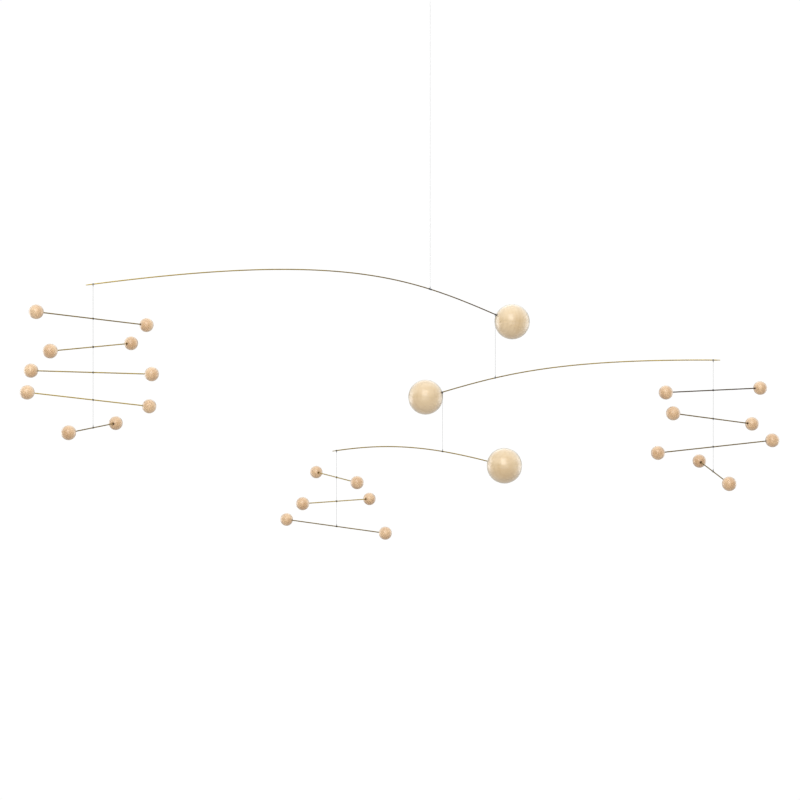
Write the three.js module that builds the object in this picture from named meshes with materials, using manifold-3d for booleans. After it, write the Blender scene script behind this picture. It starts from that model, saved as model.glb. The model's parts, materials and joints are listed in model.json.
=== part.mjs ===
// A hanging mobile. Three bent wire arms hang one below the other on clear nylon thread. Each is balanced by
// a large wooden ball on its short side, and below its long end hangs a stack of short wire rods with a
// small wooden ball on each end.
// Millimetres, +Z up, +X to the right and +Y away from someone who looks at it from the front. The origin is
// where the loop at the top of the hanging thread rests on its hook.

import * as THREE from "three";
import { mergeVertices } from "three/addons/utils/BufferGeometryUtils.js";
import Module from "manifold-3d";

const wasm = await Module();
wasm.setup();

// Balls
const LARGE_BALL_DIAMETER = 48;
const SMALL_BALL_DIAMETER = 18;
const LARGE_BALL_SEAT = 19.5; // how deep an arm's wire sits in its large ball
const SMALL_BALL_SEAT = 6.5; // how deep a rod's wire sits in its small balls

// Wire
const ARM_WIRE_DIAMETER = 1.5;
const ROD_WIRE_DIAMETER = 1.5;
const ROD_SPAN = 155; // between the centres of a rod's two balls
const HOLE_FIT = 0.4; // between a wire and the wall of its hole
const HOLE_SPARE = 0.6; // between a wire's end and the bottom of its hole

// Thread
const THREAD_DIAMETER = 0.3;
const HITCH_TURNS = 5; // turns of thread round a wire
const TOP_HITCH_TURNS = 14; // turns of the one hitch that carries everything
const HITCH_FIT = 0.3; // between those turns and the wire
const KNOT_DIAMETER = 1.2;
const KNOT_HEIGHT = 1.5;
const SWIVEL_GAP = 0.3; // between a length of thread and the hitch or wire that it turns against
const LINK_CLEARANCE = 0.45; // between a large ball and the thread that passes beside it
const HANGING_LENGTH = 410; // from the hook to the top arm
const LOOP_LENGTH = 18; // from the hook to the loop's knot
const LOOP_WIDTH = 7;

// Arms. heading is the way the long side points, in degrees turned from +X. toStack, pastStack and toBall
// are level distances: from the thread that carries the arm to the stack's thread, on to the wire's tip, and
// the other way to the centre of the ball. The wire is one smooth bend from its ball, where it climbs at
// ballSlope degrees, to its tip, which is rise higher and runs at tipSlope. The pulls say how far each end's
// slope is felt, as a share of the wire's level run. link is the thread from the arm above.
const ARMS = {
  top: {
    heading: 197.6, toStack: 447, pastStack: 9, toBall: 118,
    rise: 48.4, ballSlope: 22.2, tipSlope: -7.8, ballPull: 0.25, tipPull: 0.62,
  },
  middle: {
    link: 86.2, heading: -19.2, toStack: 293.5, pastStack: 9, toBall: 99.7,
    rise: 56.2, ballSlope: 17, tipSlope: 0.2, ballPull: 0.26, tipPull: 0.56,
  },
  lower: {
    link: 81.6, heading: 162, toStack: 155.4, pastStack: 6, toBall: 87.4,
    rise: 12.4, ballSlope: 13.3, tipSlope: -10, ballPull: 0.42, tipPull: 0.34,
  },
};

// Stacks, each from its top rod down. drop is the thread above the rod. heading is the way the rod's ball b
// points, in degrees turned from +X, and slope is how much the rod climbs towards it. offCentre is how far
// the hitch stands from the rod's middle, towards ball b.
const STACKS = {
  left: [
    { drop: 43.3, heading: 39, slope: -6.6, offCentre: 0.5 },
    { drop: 35.6, heading: 61, slope: 2.1, offCentre: 2 },
    { drop: 32, heading: -5, slope: -1.4, offCentre: 2.5 },
    { drop: 34.5, heading: 23, slope: -7.9, offCentre: 5 },
    { drop: 35, heading: 79, slope: -0.1, offCentre: 0 },
  ],
  right: [
    { drop: 39.2, heading: 28, slope: 0.6, offCentre: -1 },
    { drop: 36.9, heading: 38, slope: -7.7, offCentre: -0.5 },
    { drop: 36.6, heading: 8, slope: 5.3, offCentre: -3 },
    { drop: 32.2, heading: -87, slope: -4.7, offCentre: -2.5 },
  ],
  lower: [
    { drop: 37.6, heading: -66, slope: 0.4, offCentre: 2 },
    { drop: 33.6, heading: 55, slope: -3.5, offCentre: -1 },
    { drop: 35.4, heading: -24, slope: -3.8, offCentre: 2 },
  ],
};

// How finely the round forms are cut into flat faces
const THREAD_SIDES = 8;
const WIRE_SIDES = 8;
const HITCH_SIDES = 10;
const LOOP_STEPS = 24;
const ARM_STEP_LENGTH = 20;
const SMALL_BALL_CUTS = { around: 12, along: 6 };
const LARGE_BALL_CUTS = { around: 20, along: 10 };

// Derived sizes
const hitchRadius = (wireDiameter) => wireDiameter / 2 + HITCH_FIT + THREAD_DIAMETER;
const threadSeat = (wireDiameter) => hitchRadius(wireDiameter) - THREAD_DIAMETER / 2;
const knotAboveWire = (wireDiameter) => threadSeat(wireDiameter) + KNOT_HEIGHT / 2;
const knotUnderArm = (armHeight) => armHeight - ARM_WIRE_DIAMETER / 2 - SWIVEL_GAP - KNOT_HEIGHT / 2;
const linkReach = (arm) => arm.toBall - LARGE_BALL_DIAMETER / 2 - LINK_CLEARANCE - THREAD_DIAMETER / 2;

function largeBallWood() {
  return new THREE.MeshStandardMaterial({ color: 0xe6c99c, roughness: 0.32, metalness: 0 });
}

function smallBallWood() {
  return new THREE.MeshStandardMaterial({ color: 0xd9a870, roughness: 0.5, metalness: 0 });
}

function goldenWire() {
  return new THREE.MeshStandardMaterial({ color: 0xa08a5c, roughness: 0.35, metalness: 1 });
}

function clearNylon() {
  return new THREE.MeshStandardMaterial({
    color: 0xdcdfe0, roughness: 0.2, metalness: 0, transparent: true, opacity: 0.5,
  });
}

function namedMesh(name, geometry, material) {
  const mesh = new THREE.Mesh(geometry, material);
  mesh.name = name;
  return mesh;
}

// A closed geometry as a solid, from its positions alone.
function solidOf(geometry) {
  const bare = geometry.clone();
  bare.deleteAttribute("normal");
  bare.deleteAttribute("uv");
  const merged = mergeVertices(bare);
  return new wasm.Manifold(
    new wasm.Mesh({
      numProp: 3,
      vertProperties: merged.getAttribute("position").array,
      triVerts: new Uint32Array(merged.getIndex().array),
    }),
  );
}

// Several closed geometries that run into each other, joined into one.
function joined(...geometries) {
  const whole = geometries.map(solidOf).reduce((sum, next) => sum.add(next));
  const mesh = whole.getMesh();
  const geometry = new THREE.BufferGeometry();
  geometry.setAttribute("position", new THREE.BufferAttribute(mesh.vertProperties, 3));
  geometry.setIndex(new THREE.BufferAttribute(mesh.triVerts, 1));
  geometry.computeVertexNormals();
  return geometry;
}

// A round section carried along a curve.
function roundTube(curve, diameter, sides, steps) {
  const corners = Array.from({ length: sides }, (_, side) => {
    const angle = (2 * Math.PI * side) / sides;
    return new THREE.Vector2(Math.cos(angle), Math.sin(angle)).multiplyScalar(diameter / 2);
  });
  return new THREE.ExtrudeGeometry(new THREE.Shape(corners), { steps, extrudePath: curve });
}

// A straight, upright length of thread between two heights.
function uprightThread(low, high) {
  const line = new THREE.LineCurve3(new THREE.Vector3(0, 0, low), new THREE.Vector3(0, 0, high));
  return roundTube(line, THREAD_DIAMETER, THREAD_SIDES, 1);
}

// A tied knot in upright thread: a small barrel about a height.
function knotAt(height) {
  const radius = KNOT_DIAMETER / 2;
  const profile = [
    new THREE.Vector2(0, -KNOT_HEIGHT / 2),
    new THREE.Vector2(radius, -KNOT_HEIGHT / 6),
    new THREE.Vector2(radius, KNOT_HEIGHT / 6),
    new THREE.Vector2(0, KNOT_HEIGHT / 2),
  ];
  return new THREE.LatheGeometry(profile, THREAD_SIDES).rotateX(Math.PI / 2).translate(0, 0, height);
}

// The turns of a hitch round a wire that runs along X and climbs at a slope, as one sleeve.
function hitchRound(wireDiameter, slope, turns) {
  const inner = wireDiameter / 2 + HITCH_FIT;
  const outer = hitchRadius(wireDiameter);
  const half = (turns * THREAD_DIAMETER) / 2;
  const profile = [
    new THREE.Vector2(inner, -half),
    new THREE.Vector2(outer, -half),
    new THREE.Vector2(outer, half),
    new THREE.Vector2(inner, half),
    new THREE.Vector2(inner, -half),
  ];
  return new THREE.LatheGeometry(profile, HITCH_SIDES).rotateZ(-Math.PI / 2).rotateY(-slope);
}

// A hitch on a wire through the local origin, with its thread up to a height and a knot at each of some
// heights.
function hitchedThread(wireDiameter, slope, top, knotHeights) {
  return joined(
    hitchRound(wireDiameter, slope, HITCH_TURNS),
    uprightThread(threadSeat(wireDiameter), top),
    ...knotHeights.map(knotAt),
  );
}

// A ball about the local origin, with a blind hole whose mouth faces +X.
function ballWithHole(diameter, wireDiameter, seat, cuts) {
  const radius = diameter / 2;
  const holeRadius = wireDiameter / 2 + HOLE_FIT;
  const holeBottom = radius - seat - HOLE_SPARE;
  const mouthAngle = Math.asin(holeRadius / radius);
  const profile = Array.from({ length: cuts.along + 1 }, (_, cut) => {
    const angle = Math.PI - ((Math.PI - mouthAngle) * cut) / cuts.along;
    return new THREE.Vector2(Math.abs(radius * Math.sin(angle)), radius * Math.cos(angle));
  });
  profile[0].x = 0;
  profile.push(new THREE.Vector2(holeRadius, holeBottom), new THREE.Vector2(0, holeBottom));
  return new THREE.LatheGeometry(profile, cuts.around).rotateZ(-Math.PI / 2);
}

// The loop's centreline: from the knot up one straight side, over the round crown and down the other side.
class LoopCurve extends THREE.Curve {
  constructor(length, width) {
    super();
    this.crownRadius = width / 2;
    this.knotDepth = length - this.crownRadius;
    this.halfAngle = Math.asin(this.crownRadius / this.knotDepth);
    this.side = this.knotDepth * Math.cos(this.halfAngle);
    this.arc = this.crownRadius * (Math.PI + 2 * this.halfAngle);
  }

  getPoint(share, target = new THREE.Vector3()) {
    const along = share * (2 * this.side + this.arc);
    const fromNearEnd = Math.min(along, 2 * this.side + this.arc - along);
    const sideways = along < this.side + this.arc / 2 ? 1 : -1;
    if (fromNearEnd < this.side) {
      const x = sideways * fromNearEnd * Math.sin(this.halfAngle);
      return target.set(x, 0, -this.crownRadius - this.knotDepth + fromNearEnd * Math.cos(this.halfAngle));
    }
    const turned = (fromNearEnd - this.side) / this.crownRadius - this.halfAngle;
    const x = sideways * this.crownRadius * Math.cos(turned);
    return target.set(x, 0, -this.crownRadius + this.crownRadius * Math.sin(turned));
  }
}

// The hanging thread: a tied loop over the hook, a knot, and a straight length down to a height.
function hangingThread(bottom) {
  const crown = THREAD_DIAMETER / 2;
  const knotHeight = crown - LOOP_LENGTH;
  const loop = roundTube(new LoopCurve(LOOP_LENGTH, LOOP_WIDTH), THREAD_DIAMETER, THREAD_SIDES, LOOP_STEPS);
  return joined(loop.translate(0, 0, crown), knotAt(knotHeight), uprightThread(bottom, knotHeight));
}

// An arm's wire as a curve in its local XZ plane, with the hitch of the thread that carries it at x = 0,
// z = 0 and its long side along +X. It also gives the ball's centre.
function bendArm(arm) {
  const ballSlope = THREE.MathUtils.degToRad(arm.ballSlope);
  const tipSlope = THREE.MathUtils.degToRad(arm.tipSlope);
  const outOfBall = new THREE.Vector3(Math.cos(ballSlope), 0, Math.sin(ballSlope));
  const intoTip = new THREE.Vector3(Math.cos(tipSlope), 0, Math.sin(tipSlope));
  const ballCentre = new THREE.Vector3(-arm.toBall, 0, 0);
  const start = ballCentre.clone().addScaledVector(outOfBall, LARGE_BALL_DIAMETER / 2 - LARGE_BALL_SEAT);
  const tip = new THREE.Vector3(arm.toStack + arm.pastStack, 0, arm.rise);
  const run = tip.x - start.x;
  const curve = new THREE.CubicBezierCurve3(
    start,
    start.clone().addScaledVector(outOfBall, arm.ballPull * run),
    tip.clone().addScaledVector(intoTip, -arm.tipPull * run),
    tip,
  );
  const hitchHeight = pointAtReach(curve, 0).z;
  for (const point of [ballCentre, curve.v0, curve.v1, curve.v2, curve.v3]) {
    point.z -= hitchHeight;
  }
  return { curve, ballCentre };
}

// The share of an arm's curve at which it stands at a level distance from its hitch, by halving until the
// two sides meet.
function shareAtReach(curve, reach) {
  let low = 0;
  let high = 1;
  let middle = 0.5;
  while (low < middle && middle < high) {
    if (curve.getPoint(middle).x < reach) low = middle;
    else high = middle;
    middle = (low + high) / 2;
  }
  return low;
}

function pointAtReach(curve, reach) {
  return curve.getPoint(shareAtReach(curve, reach));
}

function slopeAtReach(curve, reach) {
  const direction = curve.getTangent(shareAtReach(curve, reach));
  return Math.atan2(direction.z, direction.x);
}

// One arm with its ball. hitchPlace is where its thread takes hold of it.
function buildArm(name, arm, hitchPlace) {
  const group = new THREE.Group();
  group.position.copy(hitchPlace);
  group.rotation.z = THREE.MathUtils.degToRad(arm.heading);
  const bend = bendArm(arm);
  const steps = Math.ceil(bend.curve.getLength() / ARM_STEP_LENGTH);
  const wire = roundTube(bend.curve, ARM_WIRE_DIAMETER, WIRE_SIDES, steps);
  const ball = namedMesh(
    `${name}_arm_ball`,
    ballWithHole(LARGE_BALL_DIAMETER, ARM_WIRE_DIAMETER, LARGE_BALL_SEAT, LARGE_BALL_CUTS),
    largeBallWood(),
  );
  ball.position.copy(bend.ballCentre);
  ball.rotation.y = -THREE.MathUtils.degToRad(arm.ballSlope);
  group.add(namedMesh(`${name}_arm`, wire, goldenWire()), ball);
  return group;
}

// The place on an arm at a level distance from its hitch, in the mobile's own frame.
function placeOnArm(arm, hitchPlace, reach) {
  const up = new THREE.Vector3(0, 0, 1);
  const local = pointAtReach(bendArm(arm).curve, reach);
  return local.applyAxisAngle(up, THREE.MathUtils.degToRad(arm.heading)).add(hitchPlace);
}

// The thread from the arm above to an arm, hitched round the arm that it carries.
function buildLink(name, arm, hitchPlace) {
  const slope = slopeAtReach(bendArm(arm).curve, 0);
  const upperKnot = knotUnderArm(arm.link);
  const thread = namedMesh(
    `${name}_arm_thread`,
    hitchedThread(ARM_WIRE_DIAMETER, slope, upperKnot, [knotAboveWire(ARM_WIRE_DIAMETER), upperKnot]),
    clearNylon(),
  );
  thread.position.copy(hitchPlace);
  thread.rotation.z = THREE.MathUtils.degToRad(arm.heading);
  return thread;
}

// One rod with its two balls and the thread above it. hitchPlace is where the thread takes hold of it. The
// thread is tied under the arm at the top of its stack, and above the last rod at the bottom.
function buildTier(stackName, number, tier, hitchPlace, isLast) {
  const group = new THREE.Group();
  group.position.copy(hitchPlace);
  group.rotation.z = THREE.MathUtils.degToRad(tier.heading);

  const slope = THREE.MathUtils.degToRad(tier.slope);
  const leaning = new THREE.Group();
  leaning.rotation.y = -slope;
  const rodLength = ROD_SPAN - SMALL_BALL_DIAMETER + 2 * SMALL_BALL_SEAT;
  const rodRadius = ROD_WIRE_DIAMETER / 2;
  const rod = namedMesh(
    `${stackName}_rod_${number}`,
    new THREE.CylinderGeometry(rodRadius, rodRadius, rodLength, WIRE_SIDES).rotateZ(-Math.PI / 2),
    goldenWire(),
  );
  rod.position.x = -tier.offCentre;
  leaning.add(rod);
  for (const [end, side] of [["a", -1], ["b", 1]]) {
    const ball = namedMesh(
      `${stackName}_rod_${number}_ball_${end}`,
      ballWithHole(SMALL_BALL_DIAMETER, ROD_WIRE_DIAMETER, SMALL_BALL_SEAT, SMALL_BALL_CUTS),
      smallBallWood(),
    );
    ball.position.x = (side * ROD_SPAN) / 2 - tier.offCentre;
    ball.rotation.z = side > 0 ? Math.PI : 0;
    leaning.add(ball);
  }

  const hangsFromArm = number === 1;
  const underHitch = tier.drop - hitchRadius(ROD_WIRE_DIAMETER) - SWIVEL_GAP;
  const top = hangsFromArm ? knotUnderArm(tier.drop) : underHitch;
  const knotHeights = [];
  if (hangsFromArm) knotHeights.push(top);
  if (isLast) knotHeights.push(knotAboveWire(ROD_WIRE_DIAMETER));
  const thread = hitchedThread(ROD_WIRE_DIAMETER, slope, top, knotHeights);
  group.add(leaning, namedMesh(`${stackName}_thread_${number}`, thread, clearNylon()));
  return group;
}

// A stack of rods, one below the other, down from a place on an arm.
function buildStack(name, tiers, topPlace) {
  const stack = new THREE.Group();
  const place = topPlace.clone();
  tiers.forEach((tier, index) => {
    place.z -= tier.drop;
    stack.add(buildTier(name, index + 1, tier, place, index === tiers.length - 1));
  });
  return stack;
}

// The whole mobile, from the hook down. Each arm hangs from the ball side of the one above it.
function buildMobile() {
  const mobile = new THREE.Group();
  const stackOf = { top: "left", middle: "right", lower: "lower" };
  let hitchPlace = new THREE.Vector3(0, 0, -HANGING_LENGTH);

  const topSlope = slopeAtReach(bendArm(ARMS.top).curve, 0);
  const topKnotHeight = knotAboveWire(ARM_WIRE_DIAMETER);
  const topHitch = namedMesh(
    "top_arm_hitch",
    joined(hitchRound(ARM_WIRE_DIAMETER, topSlope, TOP_HITCH_TURNS), knotAt(topKnotHeight)),
    clearNylon(),
  );
  topHitch.position.copy(hitchPlace);
  topHitch.rotation.z = THREE.MathUtils.degToRad(ARMS.top.heading);
  const hangingBottom = hitchPlace.z + topKnotHeight + KNOT_HEIGHT / 2 + SWIVEL_GAP;
  mobile.add(namedMesh("hanging_thread", hangingThread(hangingBottom), clearNylon()), topHitch);

  let armAbove = null;
  for (const [name, arm] of Object.entries(ARMS)) {
    if (armAbove) {
      hitchPlace = placeOnArm(armAbove, hitchPlace, -linkReach(armAbove));
      hitchPlace.z -= arm.link;
      mobile.add(buildLink(name, arm, hitchPlace));
    }
    mobile.add(buildArm(name, arm, hitchPlace));
    const stackTop = placeOnArm(arm, hitchPlace, arm.toStack);
    mobile.add(buildStack(stackOf[name], STACKS[stackOf[name]], stackTop));
    armAbove = arm;
  }
  return mobile;
}

export default buildMobile();
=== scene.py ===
import json
import math

import bpy
import numpy as np
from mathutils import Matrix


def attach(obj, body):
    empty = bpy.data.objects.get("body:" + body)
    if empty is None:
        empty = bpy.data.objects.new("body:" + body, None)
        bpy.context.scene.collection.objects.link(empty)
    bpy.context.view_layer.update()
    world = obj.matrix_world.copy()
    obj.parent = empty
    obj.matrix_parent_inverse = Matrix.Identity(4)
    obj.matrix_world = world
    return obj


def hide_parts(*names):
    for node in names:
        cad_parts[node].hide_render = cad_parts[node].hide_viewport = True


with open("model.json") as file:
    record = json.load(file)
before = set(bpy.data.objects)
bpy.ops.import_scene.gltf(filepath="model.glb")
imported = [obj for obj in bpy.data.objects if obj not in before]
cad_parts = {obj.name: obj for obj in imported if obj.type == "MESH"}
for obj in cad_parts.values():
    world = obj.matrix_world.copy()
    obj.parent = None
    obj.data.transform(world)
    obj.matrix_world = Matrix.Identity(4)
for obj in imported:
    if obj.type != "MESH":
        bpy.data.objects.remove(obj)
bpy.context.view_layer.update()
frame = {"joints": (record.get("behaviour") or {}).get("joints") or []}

# The mobile is looked at from 2.1 m in front of it and from the height of its top arm, through a long lens
# that is held level. The lens is shifted down, so that the stacks below come into the picture.
camera = bpy.data.objects.new("camera", bpy.data.cameras.new("camera"))
camera.location = (-0.0405, -2.12, -0.4245)
camera.rotation_euler = (math.radians(90), 0, 0)
camera.data.sensor_width = 36
camera.data.lens = 71.1
camera.data.shift_y = -0.125
bpy.context.scene.collection.objects.link(camera)
bpy.context.scene.camera = camera


# The hanging thread is clear nylon monofilament, 0.3 mm thick and drawn taut by the mobile's own weight. It
# runs from the top arm's hitch straight up to a knot, and ends in the loop that goes over the ceiling hook.
THREAD_RADIUS = 0.00015
HANGING_LOW = -0.407
LOOP_KNOT = -0.01785
LOOP_WIDTH = 0.007
KNOT_HALF = 0.00075
KNOT_TAIL = np.array([[0.0003], [0.0006], [0.0008]])
UPWARD = np.array([0.0, 0.0, 1.0])
ACROSS = np.array([1.0, 0.0, 0.0])


def new_material(name):
    """A new material, its node tree and its Principled shader."""
    material = bpy.data.materials.new(name)
    material.use_nodes = True
    tree = material.node_tree
    return material, tree, tree.nodes["Principled BSDF"]


def clear_nylon(name, thin, thick):
    """Clear nylon: light goes through it, slightly bent, and its body clouds between two greys."""
    material, tree, shader = new_material(name)
    place = tree.nodes.new("ShaderNodeTexCoord")
    cloud = tree.nodes.new("ShaderNodeTexNoise")
    cloud.inputs["Scale"].default_value = 900
    cloud.inputs["Detail"].default_value = 1
    tone = tree.nodes.new("ShaderNodeMix")
    tone.data_type = "RGBA"
    tone.inputs["A"].default_value = (*thick, 1)
    tone.inputs["B"].default_value = (*thin, 1)
    tree.links.new(place.outputs["Object"], cloud.inputs["Vector"])
    tree.links.new(cloud.outputs["Fac"], tone.inputs["Factor"])
    tree.links.new(tone.outputs["Result"], shader.inputs["Base Color"])
    shader.inputs["Roughness"].default_value = 0.12
    shader.inputs["IOR"].default_value = 1.53
    shader.inputs["Transmission Weight"].default_value = 0.75
    return material


def unit(vectors):
    """Each vector, drawn out or in to a length of one."""
    return vectors / np.linalg.norm(vectors, axis=-1, keepdims=True)


def tube(path, outward, radius, sides=8):
    """Rings of points round a path: each ring stands square to the path's own direction, at the radius from
    it, and starts on the side that outward looks to, which is one direction or one for each point."""
    along = unit(np.gradient(path, axis=0))
    sideways = unit(np.cross(along, np.broadcast_to(outward, path.shape)))
    upward = np.cross(sideways, along)
    angle = np.linspace(0, 2 * np.pi, sides, endpoint=False)[None, :, None]
    radii = np.broadcast_to(radius, len(path))[:, None, None]
    rings = radii * (np.cos(angle) * upward[:, None] + np.sin(angle) * sideways[:, None])
    return path[:, None] + rings, path[0], path[-1]


def closed_faces(rings, around, first):
    """The faces of a closed surface whose points are counted from first: rows of quads between each ring and
    the next, and a fan of triangles from each end ring to that end's own point, which follow the rings."""
    here = np.arange(around)
    ahead = np.roll(here, -1)
    row = first + around * np.arange(rings - 1)[:, None]
    quads = np.stack([row + here, row + ahead, row + ahead + around, row + here + around], axis=-1)
    top = first + around * (rings - 1)
    start = first + around * rings
    fans = [np.stack([0 * here + start, first + ahead, first + here], axis=-1),
            np.stack([0 * here + start + 1, top + here, top + ahead], axis=-1)]
    return quads.reshape(-1, 4).tolist() + np.concatenate(fans).tolist()


def make_piece(name, surfaces, material, body, stands_for=()):
    """One smooth piece out of closed surfaces, each given as its rings, its first and its last point. It
    rides on a body, and stands for the CAD nodes that are given, if any."""
    points = []
    faces = []
    for rings, start, end in surfaces:
        faces += closed_faces(*rings.shape[:2], sum(map(len, points)))
        points += [rings.reshape(-1, 3), np.array([start, end])]
    mesh = bpy.data.meshes.new(name)
    mesh.from_pydata(np.concatenate(points).tolist(), [], faces)
    mesh.shade_smooth()
    mesh.materials.append(material)
    piece = bpy.data.objects.new(name, mesh)
    bpy.context.scene.collection.objects.link(piece)
    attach(piece, body)
    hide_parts(*stands_for)
    return piece


def straight(low, high, points=16):
    """Points evenly spaced on the straight line between two points."""
    share = np.linspace(0, 1, points)[:, None]
    return np.array(low) * (1 - share) + np.array(high) * share


def wound_knot(centre, way=1, turns=4):
    """A knot's turns round the upright thread: a helix one thread's thickness out from it, as high as the
    knot, whose first end is tucked in and whose last end stands out as a short cut tail. It goes up from its
    first end, or down where way is -1."""
    angle = np.linspace(0, 2 * np.pi * turns, 14 * turns)
    radial = np.stack([np.cos(angle), np.sin(angle), 0 * angle], axis=1)
    share = np.linspace(0, 1, len(angle))[:, None]
    reach = 2.8 * THREAD_RADIUS * np.clip(6 * share, 0.3, 1)
    height = way * (KNOT_HALF - THREAD_RADIUS) * (2 * share - 1)
    helix = np.array(centre) + reach * radial + height * UPWARD
    leaving = unit(np.cross(UPWARD, radial[-1]) + 0.5 * radial[-1] + 1.5 * way * UPWARD)
    tail = helix[-1] + KNOT_TAIL * leaving
    path = np.concatenate([helix, tail])
    outward = np.concatenate([radial, np.repeat(radial[-1:], len(tail), axis=0)])
    return tube(path, outward, THREAD_RADIUS)


def loop_path(knot, crown_top, width, points=72):
    """The loop's centreline: up from the knot on one side, over a round crown and down the other side. It is
    the outline of a circle and the two lines that touch it from the knot."""
    radius = width / 2
    depth = crown_top - radius - knot
    lean = math.asin(radius / depth)
    side = depth * math.cos(lean)
    arc = radius * (math.pi + 2 * lean)
    run = np.linspace(0, 2 * side + arc, points)
    near = np.minimum(run, 2 * side + arc - run)
    facing = np.where(run < side + arc / 2, 1, -1)
    turned = (near - side) / radius - lean
    x = np.where(near < side, near * math.sin(lean), radius * np.cos(turned))
    z = np.where(near < side, knot + near * math.cos(lean), crown_top - radius + radius * np.sin(turned))
    return np.stack([facing * x, 0 * run, z], axis=1)


hanging_nylon = clear_nylon("hanging_nylon", (0.86, 0.88, 0.89), (0.74, 0.76, 0.78))
hanging_path = straight((0, 0, HANGING_LOW), (0, 0, LOOP_KNOT), 40)
hanging = make_piece("hanging_thread_nylon", [tube(hanging_path, ACROSS, THREAD_RADIUS)], hanging_nylon,
                     "hanger", ["hanging_thread"])
loop = make_piece(
    "hanging_loop_nylon",
    [tube(loop_path(LOOP_KNOT, THREAD_RADIUS, LOOP_WIDTH), (0, 1, 0), THREAD_RADIUS),
     wound_knot((0, 0, LOOP_KNOT))],
    hanging_nylon, "hanger", ["hanging_thread"],
)


# The three arms are spring wire, 1.5 mm thick, drawn, golden and slightly tarnished. Each is bent by hand to
# one long curve. The cut end past the stack's thread is pinched flat, so that the thread can't slip off.
ARM_WIRE_RADIUS = 0.00075
WIRE_SIDES = 16
LARGE_BALL_RADIUS = 0.024
ARM_SEAT = 0.0195
PINCH_LENGTH = 0.005
PINCH_SHARE = 0.3
SWIVELS = {joint["child"]: np.array(joint["pos_m"]) for joint in frame["joints"]}
# For each arm: the way its long side points in degrees, the level reach from its hitch to the wire's tip and
# back to the ball's centre, the tip's height above the ball, the slopes at ball and tip, and how far each
# slope is felt as a share of the level run.
ARMS = {
    "top_arm": (197.6, 0.456, 0.118, 0.0484, 22.2, -7.8, 0.25, 0.62),
    "middle_arm": (-19.2, 0.3025, 0.0997, 0.0562, 17, 0.2, 0.26, 0.56),
    "lower_arm": (162, 0.1614, 0.0874, 0.0124, 13.3, -10, 0.42, 0.34),
}


def golden_wire():
    """Drawn wire: a golden metal with fine lines along it, clouded here and there with brown tarnishing. Each
    piece's own level adds to the clouding, and is partly tarnishing and partly painted shade and painted
    reflection.
    """
    material, tree, shader = new_material("golden_wire")
    place = tree.nodes.new("ShaderNodeTexCoord")
    cloud = tree.nodes.new("ShaderNodeTexNoise")
    cloud.inputs["Scale"].default_value = 140
    cloud.inputs["Detail"].default_value = 3
    lines = tree.nodes.new("ShaderNodeTexNoise")
    lines.inputs["Scale"].default_value = 60
    lines.inputs["Detail"].default_value = 2
    stretch = tree.nodes.new("ShaderNodeMapping")
    stretch.inputs["Scale"].default_value = (1, 0.02, 1)
    # The piece's own level of darkness: partly tarnishing, partly painted shade and painted reflection
    tarnish_and_light = tree.nodes.new("ShaderNodeAttribute")
    tarnish_and_light.attribute_name = "tarnish_and_light"
    clouded = tree.nodes.new("ShaderNodeMath")
    clouded.operation = "MULTIPLY_ADD"
    clouded.inputs[1].default_value = 0.5
    clouded.use_clamp = True
    tone = tree.nodes.new("ShaderNodeMix")
    tone.data_type = "RGBA"
    tone.inputs["A"].default_value = (0.52, 0.39, 0.085, 1)
    tone.inputs["B"].default_value = (0.075, 0.045, 0.012, 1)
    dullness = tree.nodes.new("ShaderNodeMapRange")
    dullness.inputs["To Min"].default_value = 0.28
    dullness.inputs["To Max"].default_value = 0.5
    bump = tree.nodes.new("ShaderNodeBump")
    bump.inputs["Strength"].default_value = 0.15
    bump.inputs["Distance"].default_value = 0.00005
    tree.links.new(place.outputs["Object"], cloud.inputs["Vector"])
    tree.links.new(place.outputs["UV"], stretch.inputs["Vector"])
    tree.links.new(stretch.outputs["Vector"], lines.inputs["Vector"])
    tree.links.new(cloud.outputs["Fac"], clouded.inputs[0])
    tree.links.new(tarnish_and_light.outputs["Fac"], clouded.inputs[2])
    tree.links.new(clouded.outputs["Value"], tone.inputs["Factor"])
    tree.links.new(clouded.outputs["Value"], dullness.inputs["Value"])
    tree.links.new(lines.outputs["Fac"], bump.inputs["Height"])
    tree.links.new(tone.outputs["Result"], shader.inputs["Base Color"])
    tree.links.new(dullness.outputs["Result"], shader.inputs["Roughness"])
    tree.links.new(bump.outputs["Normal"], shader.inputs["Normal"])
    shader.inputs["Metallic"].default_value = 1
    return material


def pulled_curve(start, start_pull, end_pull, end, share):
    """Points of a smooth cubic curve at shares of its run, from its two ends and the pulls on them."""
    t = share[:, None]
    left = 1 - t
    return left**3 * start + 3 * left**2 * t * start_pull + 3 * left * t**2 * end_pull + t**3 * end


def arm_bend(arm, points=241):
    """An arm's centreline from inside its ball to its tip, its level direction, its ball's centre, and the
    direction in which it leaves the ball. The curve leaves the ball at one slope and reaches the tip at
    another, and is moved up or down so that it passes through the hitch."""
    heading, to_tip, to_ball, rise, ball_slope, tip_slope, ball_pull, tip_pull = ARMS[arm]
    level = np.array([math.cos(math.radians(heading)), math.sin(math.radians(heading)), 0])
    climb = np.array([math.cos(math.radians(ball_slope)), math.sin(math.radians(ball_slope))])
    fall = np.array([math.cos(math.radians(tip_slope)), math.sin(math.radians(tip_slope))])
    inside = LARGE_BALL_RADIUS - ARM_SEAT
    start = np.array([-to_ball, 0]) + inside * climb
    end = np.array([to_tip, rise])
    run = end[0] - start[0]
    start_pull = start + ball_pull * run * climb
    end_pull = end - tip_pull * run * fall
    flat = pulled_curve(start, start_pull, end_pull, end, np.linspace(0, 1, points))
    drop = np.interp(0, flat[:, 0], flat[:, 1])
    hitch = SWIVELS[arm]
    path = hitch + flat[:, :1] * level + (flat[:, 1:] - drop) * UPWARD
    centre = hitch - to_ball * level - drop * UPWARD
    return path, level, centre, unit(climb[0] * level + climb[1] * UPWARD)


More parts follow.
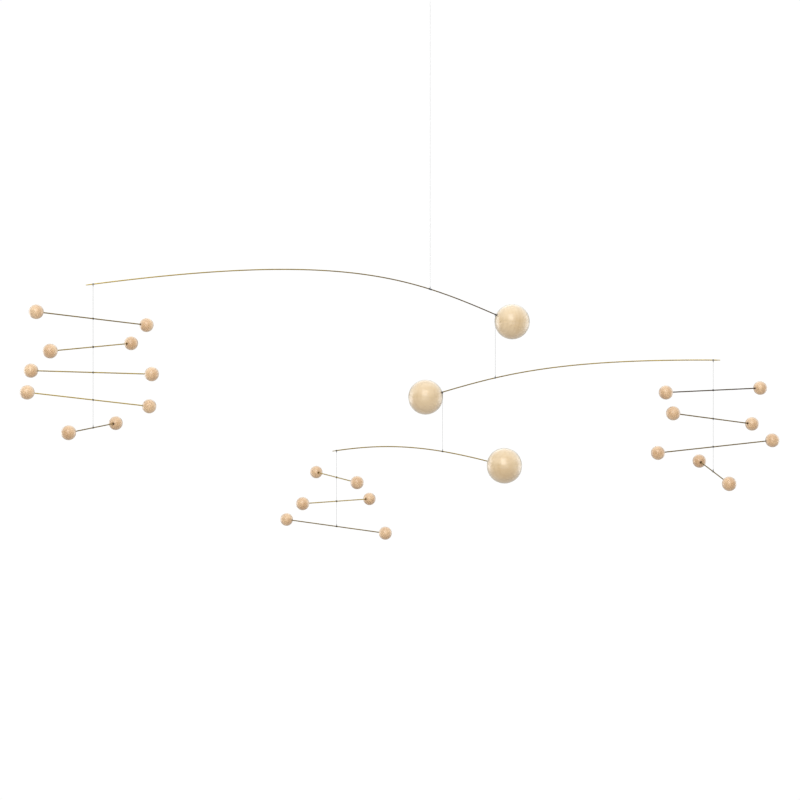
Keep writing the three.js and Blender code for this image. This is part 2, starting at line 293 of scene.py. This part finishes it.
def wire_rings(path, sideways, radius, pinch):
    """A wire's tube with slightly rounded cut ends. Towards its end it is pinched flatter up and down by the
    pinch's share, and wider by as much."""
    run = np.concatenate([[0], np.cumsum(np.linalg.norm(np.diff(path, axis=0), axis=1))])
    from_end = np.minimum(run, run[-1] - run)
    rounding = np.clip(from_end / (0.3 * radius), 0, 1)
    radii = radius * (0.72 + 0.28 * np.sqrt(1 - (1 - rounding) ** 2))
    rings, start, end = tube(path, sideways, radii, WIRE_SIDES)
    flat = pinch * np.clip((run - run[-1] + PINCH_LENGTH) / (0.4 * PINCH_LENGTH), 0, 1)[:, None, None]
    away = rings - path[:, None]
    across = (away @ sideways)[..., None] * sideways
    return path[:, None] + across * (1 + flat) + (away - across) * (1 - flat), start, end


def ends_added(path, radius):
    """A path with a few close points added near both ends, for the rounding of a wire's cut ends."""
    run = np.concatenate([[0], np.cumsum(np.linalg.norm(np.diff(path, axis=0), axis=1))])
    close = radius * np.array([0, 0.03, 0.1, 0.2, 0.3])
    at = np.unique(np.concatenate([run, close, run[-1] - close]))
    return np.stack([np.interp(at, run, path[:, axis]) for axis in range(3)], axis=1)


def lay_finish(piece, tarnish_and_light_at_start, tarnish_and_light_at_end):
    """A wire's finish. Its UV map has the share of the way round across, and the length along it in metres
    up. How dark it is goes evenly from its start to its end: partly tarnishing, partly painted shade and
    painted reflection."""
    mesh = piece.data
    place = np.empty(3 * len(mesh.vertices))
    mesh.vertices.foreach_get("co", place)
    place = place.reshape(-1, 3)
    corner = np.empty(len(mesh.loops), int)
    mesh.loops.foreach_get("vertex_index", corner)
    rings = len(place) // WIRE_SIDES
    centres = place[: rings * WIRE_SIDES].reshape(rings, WIRE_SIDES, 3).mean(axis=1)
    run = np.concatenate([[0], np.cumsum(np.linalg.norm(np.diff(centres, axis=0), axis=1))])
    index = np.minimum(corner // WIRE_SIDES, rings - 1)
    uv = np.stack([(corner % WIRE_SIDES) / WIRE_SIDES, run[index]], axis=1)
    mesh.uv_layers.new(name="along").data.foreach_set("uv", uv.ravel())
    index = np.minimum(np.arange(len(place)) // WIRE_SIDES, rings - 1)
    # Partly tarnishing, partly painted shade and painted reflection, going evenly from start to end
    tarnish_and_light = np.interp(run[index], [0, run[-1]], [tarnish_and_light_at_start, tarnish_and_light_at_end])
    mesh.attributes.new("tarnish_and_light", "FLOAT", "POINT").data.foreach_set("value", tarnish_and_light)


golden = golden_wire()
# How dark each arm is at its ball and at its tip: partly tarnished wire, and partly painted reflection
# that makes its long side lighter towards the tip
ARM_TARNISH_AND_LIGHT = {"top_arm": (0.75, -0.2), "middle_arm": (0.35, -0.05), "lower_arm": (0.3, 0.1)}
for arm in ARMS:
    path, level, _, _ = arm_bend(arm)
    sideways = np.cross(UPWARD, level)
    rings = wire_rings(ends_added(path, ARM_WIRE_RADIUS), sideways, ARM_WIRE_RADIUS, PINCH_SHARE)
    wire = make_piece(f"{arm}_bent_wire", [rings], golden, arm, [arm])
    lay_finish(wire, *ARM_TARNISH_AND_LIGHT[arm])


# Each arm's short side ends in a large turned ball of pale close-grained wood, sanded smooth and lacquered,
# which balances everything on its long side. The wire is pushed into a drilled hole and glued there. The
# hole and its rim are painted dark brown: partly a drill burn, partly painted shade in the hole.
ARM_HOLE_RADIUS = 0.00092
ARM_HOLE_DEPTH = 0.0201


def wood_grain_group():
    """Turned wood. Growth rings are waves in the distance from the tree's heart, which the place's third
    number runs along. Fine fibres and broad streaks are noise, and short dark ray flecks are cells, all drawn
    out the same way. It gives the wood's colour, how dull it is and how high it stands."""
    group = bpy.data.node_groups.new("wood_grain", "ShaderNodeTree")
    sockets = [("Place", "INPUT", "NodeSocketVector"), ("Pale Wood", "INPUT", "NodeSocketColor"),
               ("Dark Wood", "INPUT", "NodeSocketColor"), ("Fleck", "INPUT", "NodeSocketColor"),
               ("Ring Spacing", "INPUT", "NodeSocketFloat"), ("Ring Strength", "INPUT", "NodeSocketFloat"),
               ("Fleck Amount", "INPUT", "NodeSocketFloat"), ("Tone", "INPUT", "NodeSocketFloat"),
               ("Drilled", "INPUT", "NodeSocketFloat"),
               ("Color", "OUTPUT", "NodeSocketColor"), ("Dullness", "OUTPUT", "NodeSocketFloat"),
               ("Height", "OUTPUT", "NodeSocketFloat")]
    for name, way, kind in sockets:
        group.interface.new_socket(name=name, in_out=way, socket_type=kind)
    nodes = group.nodes
    links = group.links
    given = nodes.new("NodeGroupInput")
    result = nodes.new("NodeGroupOutput")

    def vector_math(operation, first, second):
        node = nodes.new("ShaderNodeVectorMath")
        node.operation = operation
        links.new(first, node.inputs[0])
        if isinstance(second, tuple):
            node.inputs[1].default_value = second
        else:
            links.new(second, node.inputs[1])
        return node

    def math_node(operation, first, second):
        node = nodes.new("ShaderNodeMath")
        node.operation = operation
        for value, socket in zip((first, second), node.inputs):
            if isinstance(value, (int, float)):
                socket.default_value = value
            else:
                links.new(value, socket)
        return node.outputs["Value"]

    def noise(place, scale, detail):
        node = nodes.new("ShaderNodeTexNoise")
        node.inputs["Scale"].default_value = scale
        node.inputs["Detail"].default_value = detail
        links.new(place, node.inputs["Vector"])
        return node

    def mixed(factor, first, second):
        node = nodes.new("ShaderNodeMix")
        node.data_type = "RGBA"
        links.new(factor, node.inputs["Factor"])
        links.new(first, node.inputs["A"])
        links.new(second, node.inputs["B"])
        return node.outputs["Result"]

    def smooth_range(value, low, high, to_low, to_high):
        node = nodes.new("ShaderNodeMapRange")
        node.interpolation_type = "SMOOTHSTEP"
        links.new(value, node.inputs["Value"])
        for name, number in zip(("From Min", "From Max", "To Min", "To Max"), (low, high, to_low, to_high)):
            node.inputs[name].default_value = number
        return node.outputs["Result"]

    slow = noise(given.outputs["Place"], 55, 2)
    wavy = vector_math("MULTIPLY", slow.outputs["Color"], (0.006, 0.006, 0.0))
    bent = vector_math("ADD", given.outputs["Place"], wavy.outputs["Vector"])
    level = vector_math("MULTIPLY", bent.outputs["Vector"], (1.0, 1.0, 0.0))
    from_heart = vector_math("LENGTH", level.outputs["Vector"], (0.0, 0.0, 0.0)).outputs["Value"]
    ring_count = math_node("DIVIDE", from_heart, given.outputs["Ring Spacing"])
    ring_phase = math_node("FRACT", ring_count, 0.0)
    late_wood = math_node("MULTIPLY", smooth_range(ring_phase, 0.25, 0.9, 0, 1),
                          smooth_range(ring_phase, 0.92, 1.0, 1, 0))
    drawn_out = vector_math("MULTIPLY", given.outputs["Place"], (1.0, 1.0, 0.05))
    fibre = noise(drawn_out.outputs["Vector"], 1500, 1).outputs["Fac"]
    broad = vector_math("MULTIPLY", given.outputs["Place"], (1.0, 1.0, 0.12))
    streak = noise(broad.outputs["Vector"], 80, 0).outputs["Fac"]
    ring_part = math_node("MULTIPLY", late_wood, given.outputs["Ring Strength"])
    fibre_part = math_node("MULTIPLY", math_node("SUBTRACT", fibre, 0.5), 0.08)
    streak_part = smooth_range(streak, 0.3, 0.7, 0, 0.7)
    shade = math_node("ADD", math_node("ADD", ring_part, fibre_part), streak_part)
    shade = math_node("ADD", shade, given.outputs["Tone"])
    wood = mixed(shade, given.outputs["Pale Wood"], given.outputs["Dark Wood"])

    fleck_place = vector_math("MULTIPLY", given.outputs["Place"], (1.0, 1.0, 0.22))
    cells = nodes.new("ShaderNodeTexVoronoi")
    cells.inputs["Scale"].default_value = 750
    links.new(fleck_place.outputs["Vector"], cells.inputs["Vector"])
    near = smooth_range(cells.outputs["Distance"], 0.12, 0.34, 1, 0)
    chosen = nodes.new("ShaderNodeSeparateColor")
    links.new(cells.outputs["Color"], chosen.inputs["Color"])
    some = smooth_range(chosen.outputs["Red"], 0.66, 0.8, 0, 1)
    fleck = math_node("MULTIPLY", math_node("MULTIPLY", near, some), given.outputs["Fleck Amount"])
    flecked = mixed(fleck, wood, given.outputs["Fleck"])
    # Dark brown for the drilled hole and its rim: partly a drill burn, partly painted shade in the hole
    burn_and_hole_shade = nodes.new("ShaderNodeRGB")
    burn_and_hole_shade.outputs["Color"].default_value = (0.16, 0.055, 0.016, 1)
    drilled = mixed(given.outputs["Drilled"], flecked, burn_and_hole_shade.outputs["Color"])
    links.new(drilled, result.inputs["Color"])
    links.new(math_node("ADD", math_node("MULTIPLY", fibre, 0.12), math_node("MULTIPLY", fleck, 0.2)),
              result.inputs["Dullness"])
    links.new(math_node("SUBTRACT", math_node("MULTIPLY", fibre, 0.4), fleck), result.inputs["Height"])
    return group


def turned_wood(name, pale, dark, fleck, ring_spacing, ring_strength, fleck_amount, dullness, relief,
                lacquer_dullness, lacquer_bending, bloom):
    """A wood's material: the grain on the piece's own grain_place, painted dark brown in and round the
    drilled hole, partly as a drill burn and partly as painted shade in the hole, under a clear lacquer, with
    the faint cool bloom that sanded wood has where it is seen aslant."""
    material, tree, shader = new_material(name)
    place = tree.nodes.new("ShaderNodeAttribute")
    place.attribute_name = "grain_place"
    drilled = tree.nodes.new("ShaderNodeAttribute")
    drilled.attribute_name = "drilled"
    tone = tree.nodes.new("ShaderNodeAttribute")
    tone.attribute_name = "tone"
    grain = tree.nodes.new("ShaderNodeGroup")
    grain.node_tree = wood_grain
    grain.inputs["Pale Wood"].default_value = (*pale, 1)
    grain.inputs["Dark Wood"].default_value = (*dark, 1)
    grain.inputs["Fleck"].default_value = (*fleck, 1)
    grain.inputs["Ring Spacing"].default_value = ring_spacing
    grain.inputs["Ring Strength"].default_value = ring_strength
    grain.inputs["Fleck Amount"].default_value = fleck_amount
    dull = tree.nodes.new("ShaderNodeMath")
    dull.inputs[1].default_value = dullness
    bump = tree.nodes.new("ShaderNodeBump")
    bump.inputs["Strength"].default_value = relief
    bump.inputs["Distance"].default_value = 0.0001
    tree.links.new(place.outputs["Vector"], grain.inputs["Place"])
    tree.links.new(drilled.outputs["Fac"], grain.inputs["Drilled"])
    tree.links.new(tone.outputs["Fac"], grain.inputs["Tone"])
    tree.links.new(grain.outputs["Color"], shader.inputs["Base Color"])
    tree.links.new(grain.outputs["Dullness"], dull.inputs[0])
    tree.links.new(dull.outputs["Value"], shader.inputs["Roughness"])
    tree.links.new(grain.outputs["Height"], bump.inputs["Height"])
    tree.links.new(bump.outputs["Normal"], shader.inputs["Normal"])
    shader.inputs["Coat Weight"].default_value = 1
    shader.inputs["Coat Roughness"].default_value = lacquer_dullness
    shader.inputs["Coat IOR"].default_value = lacquer_bending
    shader.inputs["Sheen Weight"].default_value = bloom
    shader.inputs["Sheen Roughness"].default_value = 0.6
    shader.inputs["Sheen Tint"].default_value = (0.85, 0.95, 1.0, 1)
    return material


def ball_rings(centre, mouth, radius, hole_radius, hole_depth, around, along):
    """A ball with a drilled hole. From the pole opposite the hole its rings follow the sphere to the mouth,
    whose edge is broken to a small cone, and then go down the bore to its flat bottom."""
    sink = 1.45 * hole_radius
    widest = math.asin(sink / radius)
    polar = np.pi - (np.pi - widest) * np.linspace(0.004, 1, along)
    out = np.concatenate([radius * np.sin(polar), hole_radius * np.array([1.3, 1.1, 1, 1, 1])])
    edge = radius * math.cos(widest)
    down = np.array([0.12, 0.35, 0.6, 1.4, 1.5]) * hole_radius
    up = np.concatenate([radius * np.cos(polar), edge - down])
    up[-1] = edge - hole_depth
    side = unit(np.cross(mouth, UPWARD))
    other = np.cross(mouth, side)
    angle = np.linspace(0, 2 * np.pi, around, endpoint=False)[None, :, None]
    turned = np.cos(angle) * side + np.sin(angle) * other
    rings = np.array(centre) + up[:, None, None] * mouth + out[:, None, None] * turned
    return rings, centre - radius * mouth, centre + up[-1] * mouth


def lay_grain(piece, centre, mouth, hole_radius, grain, heart, tone=0):
    """Stores each point's place in the wood, turned so that the grain runs along the third number and the
    tree's heart is a given way off, how near it is to the drilled hole, for the drill burn and painted shade
    in and round the hole, and how dark its wood is."""
    place = np.empty(3 * len(piece.data.vertices))
    piece.data.vertices.foreach_get("co", place)
    away = place.reshape(-1, 3) - centre
    grain = unit(np.array(grain, float))
    first = unit(np.cross(grain, (0.31, 0.52, 0.79)))
    second = np.cross(grain, first)
    local = np.stack([away @ first, away @ second, away @ grain], axis=1) + heart
    depth = away @ mouth
    from_axis = np.linalg.norm(away - depth[:, None] * mouth, axis=1)
    # Painted shade and drill burn: full in the bore, fading out over the mouth's edge and just past it
    burn_and_hole_shade = np.clip((1.75 * hole_radius - from_axis) / (0.35 * hole_radius), 0, 1) * (depth > 0)
    stored = piece.data.attributes
    stored.new("grain_place", "FLOAT_VECTOR", "POINT").data.foreach_set("vector", local.ravel())
    stored.new("drilled", "FLOAT", "POINT").data.foreach_set("value", burn_and_hole_shade)
    stored.new("tone", "FLOAT", "POINT").data.foreach_set("value", 0 * depth + tone)


wood_grain = wood_grain_group()
pale_wood = turned_wood(
    "pale_lacquered_wood", pale=(0.772, 0.588, 0.349), dark=(0.67, 0.474, 0.241), fleck=(0.43, 0.26, 0.13),
    ring_spacing=0.0042, ring_strength=0.22, fleck_amount=0.12, dullness=0.34, relief=0.08,
    lacquer_dullness=0.17, lacquer_bending=1.6, bloom=0.6,
)
# The direction of each large ball's grain
LARGE_BALL_GRAIN = {"top_arm": (0.15, 0.1, 1), "middle_arm": (1, 0.2, 0.12), "lower_arm": (1, 0.1, -0.25)}
for number, arm in enumerate(ARMS):
    _, _, centre, mouth = arm_bend(arm)
    rings = ball_rings(centre, mouth, LARGE_BALL_RADIUS, ARM_HOLE_RADIUS, ARM_HOLE_DEPTH, around=96, along=64)
    ball = make_piece(f"{arm}_wooden_ball", [rings], pale_wood, arm, [f"{arm}_ball"])
    heart = (0.031 + 0.007 * number, 0.012, 0.4 * number)
    lay_grain(ball, centre, mouth, ARM_HOLE_RADIUS, LARGE_BALL_GRAIN[arm], heart)


# The rods are twelve straight lengths of the same wire. Each hangs by a thread that is hitched round it near
# its middle, one rod below the other, and its ends are pushed into two small balls.
ROD_RADIUS = 0.00075
HALF_SPAN = 0.0775
SMALL_BALL_RADIUS = 0.009
ROD_SEAT = 0.0065
ROD_HALF = HALF_SPAN - SMALL_BALL_RADIUS + ROD_SEAT
# For each rod from the top of its stack down: the way that its ball b points in degrees, its climb towards
# that ball in degrees, how far the hitch stands from the rod's middle towards it, in metres, and how dark
# the wire is: partly tarnishing, partly painted shade and painted reflection for the way the rod faces.
RODS = {
    "left": [(39, -6.6, 0.0005, 0.35), (61, 2.1, 0.002, 0.18), (-5, -1.4, 0.0025, 0.1),
             (23, -7.9, 0.005, -0.38), (79, -0.1, 0, 0.35)],
    "right": [(28, 0.6, -0.001, 0.75), (38, -7.7, -0.0005, 0.45), (8, 5.3, -0.003, 0.5),
              (-87, -4.7, -0.0025, 0.4)],
    "lower": [(-66, 0.4, 0.002, 0.1), (55, -3.5, -0.001, 0.08), (-24, -3.8, 0.002, 0.4)],
}


def rod_line(stack, number):
    """A rod's middle and its direction towards ball b."""
    heading, climb, off_centre, _ = RODS[stack][number - 1]
    turn, tilt = math.radians(heading), math.radians(climb)
    direction = np.array([math.cos(turn) * math.cos(tilt), math.sin(turn) * math.cos(tilt), math.sin(tilt)])
    return SWIVELS[f"{stack}_tier_{number}"] - off_centre * direction, direction


for stack, rods in RODS.items():
    for number in range(1, len(rods) + 1):
        middle, direction = rod_line(stack, number)
        path = straight(middle - ROD_HALF * direction, middle + ROD_HALF * direction, 60)
        sideways = unit(np.cross(UPWARD, direction))
        rings = wire_rings(ends_added(path, ROD_RADIUS), sideways, ROD_RADIUS, pinch=0)
        node = f"{stack}_rod_{number}"
        wire = make_piece(f"{node}_wire", [rings], golden, f"{stack}_tier_{number}", [node])
        # The rod's level of darkness: partly tarnishing, partly painted shade and painted reflection
        tarnish_and_light = rods[number - 1][3]
        lay_finish(wire, tarnish_and_light, tarnish_and_light)


# The small balls are turned beech, warmer than the large ones, with faint streaks and a satin lacquer. Each
# is drilled on one side for its rod, which is pushed in. The hole and its rim are painted dark brown: partly
# a drill burn, partly painted shade in the hole.
ROD_HOLE_RADIUS = 0.00092
ROD_HOLE_DEPTH = 0.0071

beech = turned_wood(
    "beech", pale=(0.775, 0.53, 0.293), dark=(0.60, 0.36, 0.168), fleck=(0.40, 0.22, 0.11),
    ring_spacing=0.0034, ring_strength=0.12, fleck_amount=0.03, dullness=0.45, relief=0.02,
    lacquer_dullness=0.26, lacquer_bending=1.6, bloom=0.5,
)
# How dark each rod's two balls are, from the top of the stack down
BALL_TONES = {"left": (0, 0.1, 0, 0, 0.4), "right": (0.25, 0.25, 0.35, 0.6), "lower": (0.3, 0.3, 0.2)}
ball_turns = np.random.default_rng(4)
for stack, rods in RODS.items():
    for number in range(1, len(rods) + 1):
        middle, direction = rod_line(stack, number)
        for end, side in (("a", -1), ("b", 1)):
            centre = middle + side * HALF_SPAN * direction
            mouth = -side * direction
            node = f"{stack}_rod_{number}_ball_{end}"
            body = f"{stack}_tier_{number}"
            rings = ball_rings(centre, mouth, SMALL_BALL_RADIUS, ROD_HOLE_RADIUS, ROD_HOLE_DEPTH,
                               around=56, along=36)
            ball = make_piece(f"{node}_beech", [rings], beech, body, [node])
            grain = ball_turns.normal(size=3)
            heart = ball_turns.uniform(0.006, 0.03, 3)
            lay_grain(ball, centre, mouth, ROD_HOLE_RADIUS, grain, heart, BALL_TONES[stack][number - 1])


# Each lower thread is hitched round the wire that it carries. At an arm, and at the last rod of a stack, both
# strands of the hitch run up to a knot. At the other rods the turns cross over themselves and the thread
# goes on down.
WRAP_GAP = 0.00002
KNOT_OVER_WIRE = 0.00195
KNOT_UNDER_ARM = 0.0018
HITCH_LEAD_IN = 0.0016
HITCH_LEAD_OUT = 0.001
THREAD_TOP_UNDER_ROD = 0.0016
WHIPPING_TURNS = 4.7
WHIPPING_ASIDE = 0.0014
TIED_TURNS = 5.5
PASSING_TURNS = 6
THREAD_OVER_KNOT = 0.0002


def wrap_frame(direction):
    """A wire's own direction, the level direction across it, and the direction square to both, upwards."""
    across = unit(np.cross(UPWARD, direction))
    return direction, across, np.cross(direction, across)


def eased(start, start_way, end, end_way, points):
    """Points of a smooth curve between two places that leaves and arrives in given directions."""
    pull = 0.45 * np.linalg.norm(end - start)
    share = np.linspace(0, 1, points)
    return pulled_curve(start, start + pull * start_way, end - pull * end_way, end, share)


def turns_round(place, direction, wire_radius, turns, over=1, crossing=0):
    """Thread wound round a wire about a place on it: a helix with its turns side by side, which starts on the
    near side and goes down first, or up where over is -1. A crossing turn at the end lies on the others and
    comes back to their middle. It gives the centreline and the way out from the wire at each point."""
    wire, across, up = wrap_frame(direction)
    wound = turns - crossing
    done = np.linspace(0, turns, round(20 * turns) + 1)[:, None]
    back = np.clip(done - wound, 0, 1)
    reach = wire_radius + THREAD_RADIUS + WRAP_GAP + 2 * THREAD_RADIUS * np.clip(4 * back, 0, 1)
    along = wound * THREAD_RADIUS * (2 * np.clip(done / wound, 0, 1) - 1) * (1 - back)
    outward = np.cos(2 * np.pi * done) * across - over * np.sin(2 * np.pi * done) * up
    return place + along * wire + reach * outward, outward


def led_tube(before, helix, after, outward):
    """A tube along a hitch's turns and the strands that lead to them and away from them."""
    first = np.repeat(outward[:1], len(before), axis=0)
    last = np.repeat(outward[-1:], len(after), axis=0)
    return tube(np.concatenate([before, helix, after]), np.concatenate([first, outward, last]), THREAD_RADIUS)


def tied_hitch(place, direction, wire_radius, knot_height):
    """A hitch whose two strands meet at a knot: from the knot to the near side of the wire, five and a half
    turns round it, and back to the knot on the far side. A knot below the wire turns it upside down."""
    _, across, up = wrap_frame(direction)
    over = math.copysign(1, knot_height)
    helix, outward = turns_round(place, direction, wire_radius, TIED_TURNS, over)
    knot = place + (knot_height - over * KNOT_HALF) * UPWARD
    apart = 0.8 * THREAD_RADIUS * across
    before = eased(knot + apart, -over * UPWARD, helix[0], -over * up, 10)[:-1]
    after = eased(helix[-1], over * up, knot - apart, over * UPWARD, 10)[1:]
    return led_tube(before, helix, after, outward)


def passing_hitch(place, direction, wire_radius, top):
    """A hitch on the way down: the thread comes from above to the near side of the wire, takes five turns
    round it and one back over them, and goes on down to the place of the swivel below the wire."""
    _, _, up = wrap_frame(direction)
    helix, outward = turns_round(place, direction, wire_radius, PASSING_TURNS, crossing=1)
    above = place + (wire_radius + HITCH_LEAD_IN) * UPWARD
    below = place - (wire_radius + HITCH_LEAD_OUT) * UPWARD
    down = straight(place + top * UPWARD, above, 12)[:-1]
    before = eased(above, -UPWARD, helix[0], -up, 10)[:-1]
    after = eased(helix[-1], -up, below, -UPWARD, 10)[1:]
    return led_tube(np.concatenate([down, before]), helix, after, outward)


def upright(place, low, high):
    """A straight length of thread between two heights above a place."""
    return tube(straight(place + low * UPWARD, place + high * UPWARD, 12), ACROSS, THREAD_RADIUS)


def place_on_arm(arm, carried=None):
    """The place on an arm's centreline at its own hitch, or where the thread of a body that it carries is
    tied, and the wire's direction there."""
    path, level, _, _ = arm_bend(arm)
    distance = (path - SWIVELS[arm]) @ level
    reach = 0 if carried is None else (SWIVELS[carried] - SWIVELS[arm]) @ level
    way = np.gradient(path, axis=0)
    place, there = (
        np.array([np.interp(reach, distance, values[:, axis]) for axis in range(3)]) for values in (path, way)
    )
    return place, unit(there)


def strands_above(place, direction, wire_radius, top):
    """What carries a wire at the end of its thread: a tied hitch, its knot, and the thread up to a height."""
    return [tied_hitch(place, direction, wire_radius, KNOT_OVER_WIRE),
            wound_knot(place + KNOT_OVER_WIRE * UPWARD),
            upright(place, KNOT_OVER_WIRE - KNOT_HALF, top)]


# The lower threads and all the hitches look darker than the one long hanging thread.
nylon = clear_nylon("stack_nylon", (0.16, 0.17, 0.18), (0.07, 0.074, 0.078))
place, way = place_on_arm("top_arm")
beside = [place + side * WHIPPING_ASIDE * way for side in (-1, 1)]
whipping = [tube(*turns_round(spot, way, ARM_WIRE_RADIUS, WHIPPING_TURNS), THREAD_RADIUS) for spot in beside]
knot_top = KNOT_OVER_WIRE + KNOT_HALF + THREAD_OVER_KNOT
make_piece("top_arm_hitch_nylon", [*strands_above(place, way, ARM_WIRE_RADIUS, knot_top), *whipping],
           nylon, "top_arm", ["top_arm_hitch"])

for arm, above in (("middle_arm", "top_arm"), ("lower_arm", "middle_arm")):
    place, way = place_on_arm(arm)
    tied_to, tied_way = place_on_arm(above, arm)
    upper_knot = tied_to[2] - place[2] - KNOT_UNDER_ARM
    make_piece(f"{arm}_thread_nylon",
               [*strands_above(place, way, ARM_WIRE_RADIUS, upper_knot + KNOT_HALF),
                wound_knot(place + upper_knot * UPWARD, -1)],
               nylon, arm, [f"{arm}_thread"])
    make_piece(f"{arm}_upper_hitch", [tied_hitch(tied_to, tied_way, ARM_WIRE_RADIUS, -KNOT_UNDER_ARM)],
               nylon, above)

for stack, carrier in (("left", "top_arm"), ("right", "middle_arm"), ("lower", "lower_arm")):
    tiers = len(RODS[stack])
    tied_to, tied_way = place_on_arm(carrier, f"{stack}_tier_1")
    make_piece(f"{stack}_stack_upper_hitch",
               [tied_hitch(tied_to, tied_way, ARM_WIRE_RADIUS, -KNOT_UNDER_ARM)],
               nylon, carrier)
    for number in range(1, tiers + 1):
        place = SWIVELS[f"{stack}_tier_{number}"]
        _, direction = rod_line(stack, number)
        if number == 1:
            height = tied_to[2] - place[2] - KNOT_UNDER_ARM + KNOT_HALF
        else:
            height = SWIVELS[f"{stack}_tier_{number - 1}"][2] - place[2] - THREAD_TOP_UNDER_ROD
        if number < tiers:
            surfaces = [passing_hitch(place, direction, ROD_RADIUS, height)]
        else:
            surfaces = strands_above(place, direction, ROD_RADIUS, height)
        if number == 1:
            surfaces.append(wound_knot(place + (height - KNOT_HALF) * UPWARD, -1))
        node = f"{stack}_thread_{number}"
        make_piece(f"{node}_nylon", surfaces, nylon, f"{stack}_tier_{number}", [node])


# The mobile hangs in a plain white room, in soft light from large panels above it, in front of it, behind it
# and at both sides. Walls and floor show as plain white. As light they are dark at the mobile's own height,
# so that its balls keep a darker edge, and brighter above and below it.
WHITE_SHOWN = 1.02


def plain_white():
    """White paint that shows as plain white, and throws back only part of the light that falls on it."""
    material, tree, shader = new_material("plain_white")
    light_path = tree.nodes.new("ShaderNodeLightPath")
    shown = tree.nodes.new("ShaderNodeEmission")
    shown.inputs["Color"].default_value = (1, 1, 1, 1)
    shown.inputs["Strength"].default_value = WHITE_SHOWN
    either = tree.nodes.new("ShaderNodeMixShader")
    shader.inputs["Base Color"].default_value = (0.45, 0.42, 0.39, 1)
    shader.inputs["Roughness"].default_value = 0.9
    tree.links.new(light_path.outputs["Is Camera Ray"], either.inputs["Fac"])
    tree.links.new(shader.outputs["BSDF"], either.inputs[1])
    tree.links.new(shown.outputs["Emission"], either.inputs[2])
    tree.links.new(either.outputs["Shader"], tree.nodes["Material Output"].inputs["Surface"])
    return material


floor_mesh = bpy.data.meshes.new("floor")
floor_mesh.from_pydata([(-6, -6, -1.7), (6, -6, -1.7), (6, 6, -1.7), (-6, 6, -1.7)], [], [(0, 1, 2, 3)])
floor_mesh.materials.append(plain_white())
floor = bpy.data.objects.new("floor", floor_mesh)
bpy.context.scene.collection.objects.link(floor)

world = bpy.data.worlds.new("white_room")
bpy.context.scene.world = world
world.use_nodes = True
room = world.node_tree
room.nodes.clear()
direction = room.nodes.new("ShaderNodeTexCoord")
parts = room.nodes.new("ShaderNodeSeparateXYZ")
height = room.nodes.new("ShaderNodeMapRange")
height.inputs["From Min"].default_value = -1
height.inputs["From Max"].default_value = 1
# How bright the room is from straight below, 0, to straight above, 1
ROOM_GREYS = {0.0: 0.5, 0.42: 1.3, 0.5: 0.03, 0.58: 0.07, 0.75: 1.1, 1.0: 1.0}
walls = room.nodes.new("ShaderNodeValToRGB")
stops = walls.color_ramp.elements
for place in list(ROOM_GREYS)[1:-1]:
    stops.new(place)
for stop, grey in zip(stops, ROOM_GREYS.values()):
    stop.color = (grey, grey, grey, 1)
light_path = room.nodes.new("ShaderNodeLightPath")
dim = room.nodes.new("ShaderNodeBackground")
white = room.nodes.new("ShaderNodeBackground")
white.inputs["Color"].default_value = (1, 1, 1, 1)
white.inputs["Strength"].default_value = WHITE_SHOWN
either = room.nodes.new("ShaderNodeMixShader")
shown = room.nodes.new("ShaderNodeOutputWorld")
room.links.new(direction.outputs["Generated"], parts.inputs["Vector"])
room.links.new(parts.outputs["Z"], height.inputs["Value"])
room.links.new(height.outputs["Result"], walls.inputs["Fac"])
room.links.new(walls.outputs["Color"], dim.inputs["Color"])
room.links.new(light_path.outputs["Is Camera Ray"], either.inputs["Fac"])
room.links.new(dim.outputs["Background"], either.inputs[1])
room.links.new(white.outputs["Background"], either.inputs[2])
room.links.new(either.outputs["Shader"], shown.inputs["Surface"])


MOBILE_MIDDLE = (0.0, 0.0, -0.5)


def light_panel(name, place, size, power):
    """A soft light: a panel that faces the mobile's middle, and doesn't show in the picture itself."""
    panel = bpy.data.objects.new(name, bpy.data.lights.new(name, "AREA"))
    panel.data.shape = "RECTANGLE"
    panel.data.size, panel.data.size_y = size
    panel.data.energy = power
    panel.visible_camera = False
    panel.location = place
    aim = np.array(MOBILE_MIDDLE) - np.array(place)
    panel.rotation_euler = (math.acos(aim @ -UPWARD / np.linalg.norm(aim)), 0,
                            math.atan2(aim[1], aim[0]) - math.pi / 2)
    bpy.context.scene.collection.objects.link(panel)


light_panel("front_panel", (-0.45, -2.8, 1.4), (2.0, 2.6), 37)
light_panel("fill_panel", (0, -3.4, -0.3), (3.0, 2.4), 21)
light_panel("top_panel", (0, 0.2, 2.2), (2.4, 2.0), 6)
light_panel("back_panel", (0, 2.6, 1.5), (2.6, 1.4), 7)
light_panel("left_panel", (-2.6, 1.3, -0.6), (1.9, 2.2), 24)
light_panel("right_panel", (2.6, 1.3, -0.6), (1.9, 2.2), 19)
bpy.context.scene.view_settings.view_transform = "Standard"
